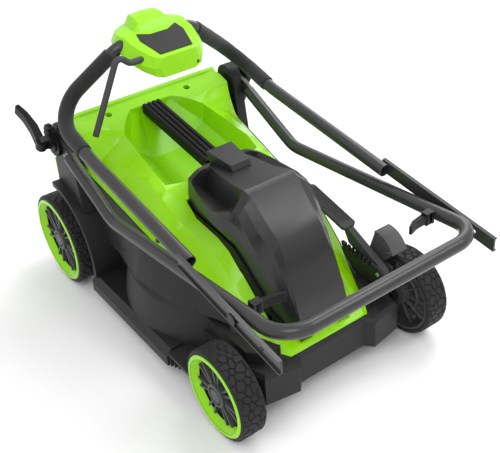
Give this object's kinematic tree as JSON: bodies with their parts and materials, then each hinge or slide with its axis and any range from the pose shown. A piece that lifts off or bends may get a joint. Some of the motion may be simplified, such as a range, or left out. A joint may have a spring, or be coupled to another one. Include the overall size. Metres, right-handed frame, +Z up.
{
  "type": "push lawn mower",
  "caption": "Push lawn mower folded for storage: moulded deck, battery hood with hinged lid, rear flap, height lever on cranked axles, spoked wheels and a two-part folding handle.",
  "frame": {"origin": "on the ground, at the middle of the whole object's length and width", "axes": "+Z up, -Y towards the mower's front, +X towards the mower's left; upright on its four wheels"},
  "size_m": [0.459, 0.77, 0.498],
  "materials": {
    "deck_plastic": "moulded, fine grain",
    "green_plastic": "glossy lime green",
    "black_plastic": "moulded, black",
    "lid_plastic": "satin dark grey",
    "battery_case": "moulded, black",
    "key_plastic": "glossy red",
    "hub_plastic": "moulded, grey",
    "tyre_rubber": "matte rubber",
    "tube_paint": "satin gun-metal paint",
    "foam": "matte foam",
    "steel": "bright",
    "blade_steel": "black paint, ground edges",
    "cast_metal": "cast"
  },
  "bodies": {
    "deck_body": {"deck": "deck_plastic", "motor_can": "cast_metal", "top_cover": "green_plastic", "cover_screws": "steel", "carry_handle": "black_plastic", "battery_housing": "black_plastic", "lid_pins": "steel", "battery_pack": "battery_case", "terminal_block": "black_plastic", "safety_key": "key_plastic", "motor_controller": "black_plastic", "flap_rod": "steel", "flap_hangers": "black_plastic", "notch_rack": "deck_plastic", "lever_pin": "steel", "adjuster_guard": "deck_plastic", "grass_combs": "deck_plastic", "clamp_discs": "black_plastic", "pivot_bolts": "steel"},
    "lid": {"battery_lid": "lid_plastic", "lid_tab": "black_plastic"},
    "flap": {"rear_flap": "green_plastic"},
    "blade_set": {"motor_rotor": "steel", "cooling_fan": "black_plastic", "blade_carrier": "cast_metal", "cutting_blade": "blade_steel", "blade_bolt": "steel"},
    "front_crank": {"front_axle": "steel"},
    "rear_crank": {"rear_axle": "steel"},
    "height_arm": {"height_lever": "deck_plastic"},
    "lower_frame": {"lower_handle": "tube_paint", "joint_bolts": "steel"},
    "upper_frame": {"upper_handle": "tube_paint", "foam_grips": "foam", "control_box_top": "green_plastic", "control_box_floor": "green_plastic", "badge_panel": "black_plastic", "switch_module": "black_plastic"},
    "bail": {"bail_lever": "black_plastic"},
    "button": {"start_button": "black_plastic"},
    "cam_left": {"cam_lever_left": "black_plastic"},
    "cam_right": {"cam_lever_right": "black_plastic"},
    "hook_left": {"joint_lever_left": "black_plastic"},
    "hook_right": {"joint_lever_right": "black_plastic"},
    "front_left_wheel": {"front_left_tyre": "tyre_rubber", "front_left_ring": "green_plastic", "front_left_hub": "hub_plastic"},
    "front_right_wheel": {"front_right_tyre": "tyre_rubber", "front_right_ring": "green_plastic", "front_right_hub": "hub_plastic"},
    "rear_left_wheel": {"rear_left_tyre": "tyre_rubber", "rear_left_ring": "green_plastic", "rear_left_hub": "hub_plastic"},
    "rear_right_wheel": {"rear_right_tyre": "tyre_rubber", "rear_right_ring": "green_plastic", "rear_right_hub": "hub_plastic"}
  },
  "joints": [
    {"name": "blade_spin", "type": "hinge", "parent": "deck_body", "child": "blade_set", "pos_m": [0, 0.02, 0.046], "axis": [0, 0, 1], "continuous": true},
    {"name": "lid_hinge", "type": "hinge", "parent": "deck_body", "child": "lid", "pos_m": [0, -0.234, 0.1038], "axis": [1, 0, 0], "range_deg": [0, 55]},
    {"name": "flap_hinge", "type": "hinge", "parent": "deck_body", "child": "flap", "pos_m": [0, 0.312, 0.258], "axis": [1, 0, 0], "range_deg": [0, 80], "stiffness_Nm_per_rad": 0.35, "springref_deg": -28.65},
    {"name": "front_axle_swing", "type": "hinge", "parent": "deck_body", "child": "front_crank", "pos_m": [0, -0.19008, 0.0548], "axis": [1, 0, 0], "range_deg": [0, 64]},
    {"name": "rear_axle_swing", "type": "hinge", "parent": "deck_body", "child": "rear_crank", "pos_m": [0, 0.32992, 0.0678], "axis": [1, 0, 0], "range_deg": [0, 64]},
    {"name": "height_lever_swing", "type": "hinge", "parent": "deck_body", "child": "height_arm", "pos_m": [0.1315, -0.225, 0.14], "axis": [1, 0, 0], "range_deg": [0, 35]},
    {"name": "handle_fold", "type": "hinge", "parent": "deck_body", "child": "lower_frame", "pos_m": [0, 0.252, 0.316], "axis": [-1, 0, 0], "range_deg": [0, 135]},
    {"name": "upper_fold", "type": "hinge", "parent": "lower_frame", "child": "upper_frame", "pos_m": [0, -0.285, 0.26317], "axis": [1, 0, 0], "range_deg": [0, 165.86]},
    {"name": "bail_squeeze", "type": "hinge", "parent": "upper_frame", "child": "bail", "pos_m": [0, 0.152, 0.452], "axis": [1, 0, 0], "range_deg": [0, 25], "stiffness_Nm_per_rad": 0.8, "springref_deg": -17.19},
    {"name": "button_press", "type": "slide", "parent": "upper_frame", "child": "button", "axis": [0, -1, 0], "range_m": [0, 0.005], "stiffness_N_per_m": 300, "springref_m": -0.002},
    {"name": "cam_left_swing", "type": "hinge", "parent": "deck_body", "child": "cam_left", "pos_m": [0.219, 0.252, 0.316], "axis": [0, -0.8829, -0.4695], "range_deg": [0, 95]},
    {"name": "cam_right_swing", "type": "hinge", "parent": "deck_body", "child": "cam_right", "pos_m": [-0.219, 0.252, 0.316], "axis": [0, -0.5592, 0.829], "range_deg": [0, 95]},
    {"name": "hook_left_swing", "type": "hinge", "parent": "lower_frame", "child": "hook_left", "pos_m": [0.15791, -0.285, 0.26317], "axis": [0, 0, -1], "range_deg": [0, 80]},
    {"name": "hook_right_swing", "type": "hinge", "parent": "lower_frame", "child": "hook_right", "pos_m": [-0.15791, -0.285, 0.26317], "axis": [0, 0, 1], "range_deg": [0, 80]},
    {"name": "front_left_roll", "type": "hinge", "parent": "front_crank", "child": "front_left_wheel", "pos_m": [0, -0.224, 0.076], "axis": [1, 0, 0], "continuous": true},
    {"name": "front_right_roll", "type": "hinge", "parent": "front_crank", "child": "front_right_wheel", "pos_m": [0, -0.224, 0.076], "axis": [1, 0, 0], "continuous": true},
    {"name": "rear_left_roll", "type": "hinge", "parent": "rear_crank", "child": "rear_left_wheel", "pos_m": [0, 0.296, 0.089], "axis": [1, 0, 0], "continuous": true},
    {"name": "rear_right_roll", "type": "hinge", "parent": "rear_crank", "child": "rear_right_wheel", "pos_m": [0, 0.296, 0.089], "axis": [1, 0, 0], "continuous": true}
  ],
  "couplings": [
    {"joint": "rear_axle_swing", "follows": "front_axle_swing", "ratio": 1},
    {"joint": "height_lever_swing", "follows": "front_axle_swing", "ratio": 0.54688},
    {"joint": "upper_fold", "follows": "handle_fold", "ratio": 1.2286}
  ]
}
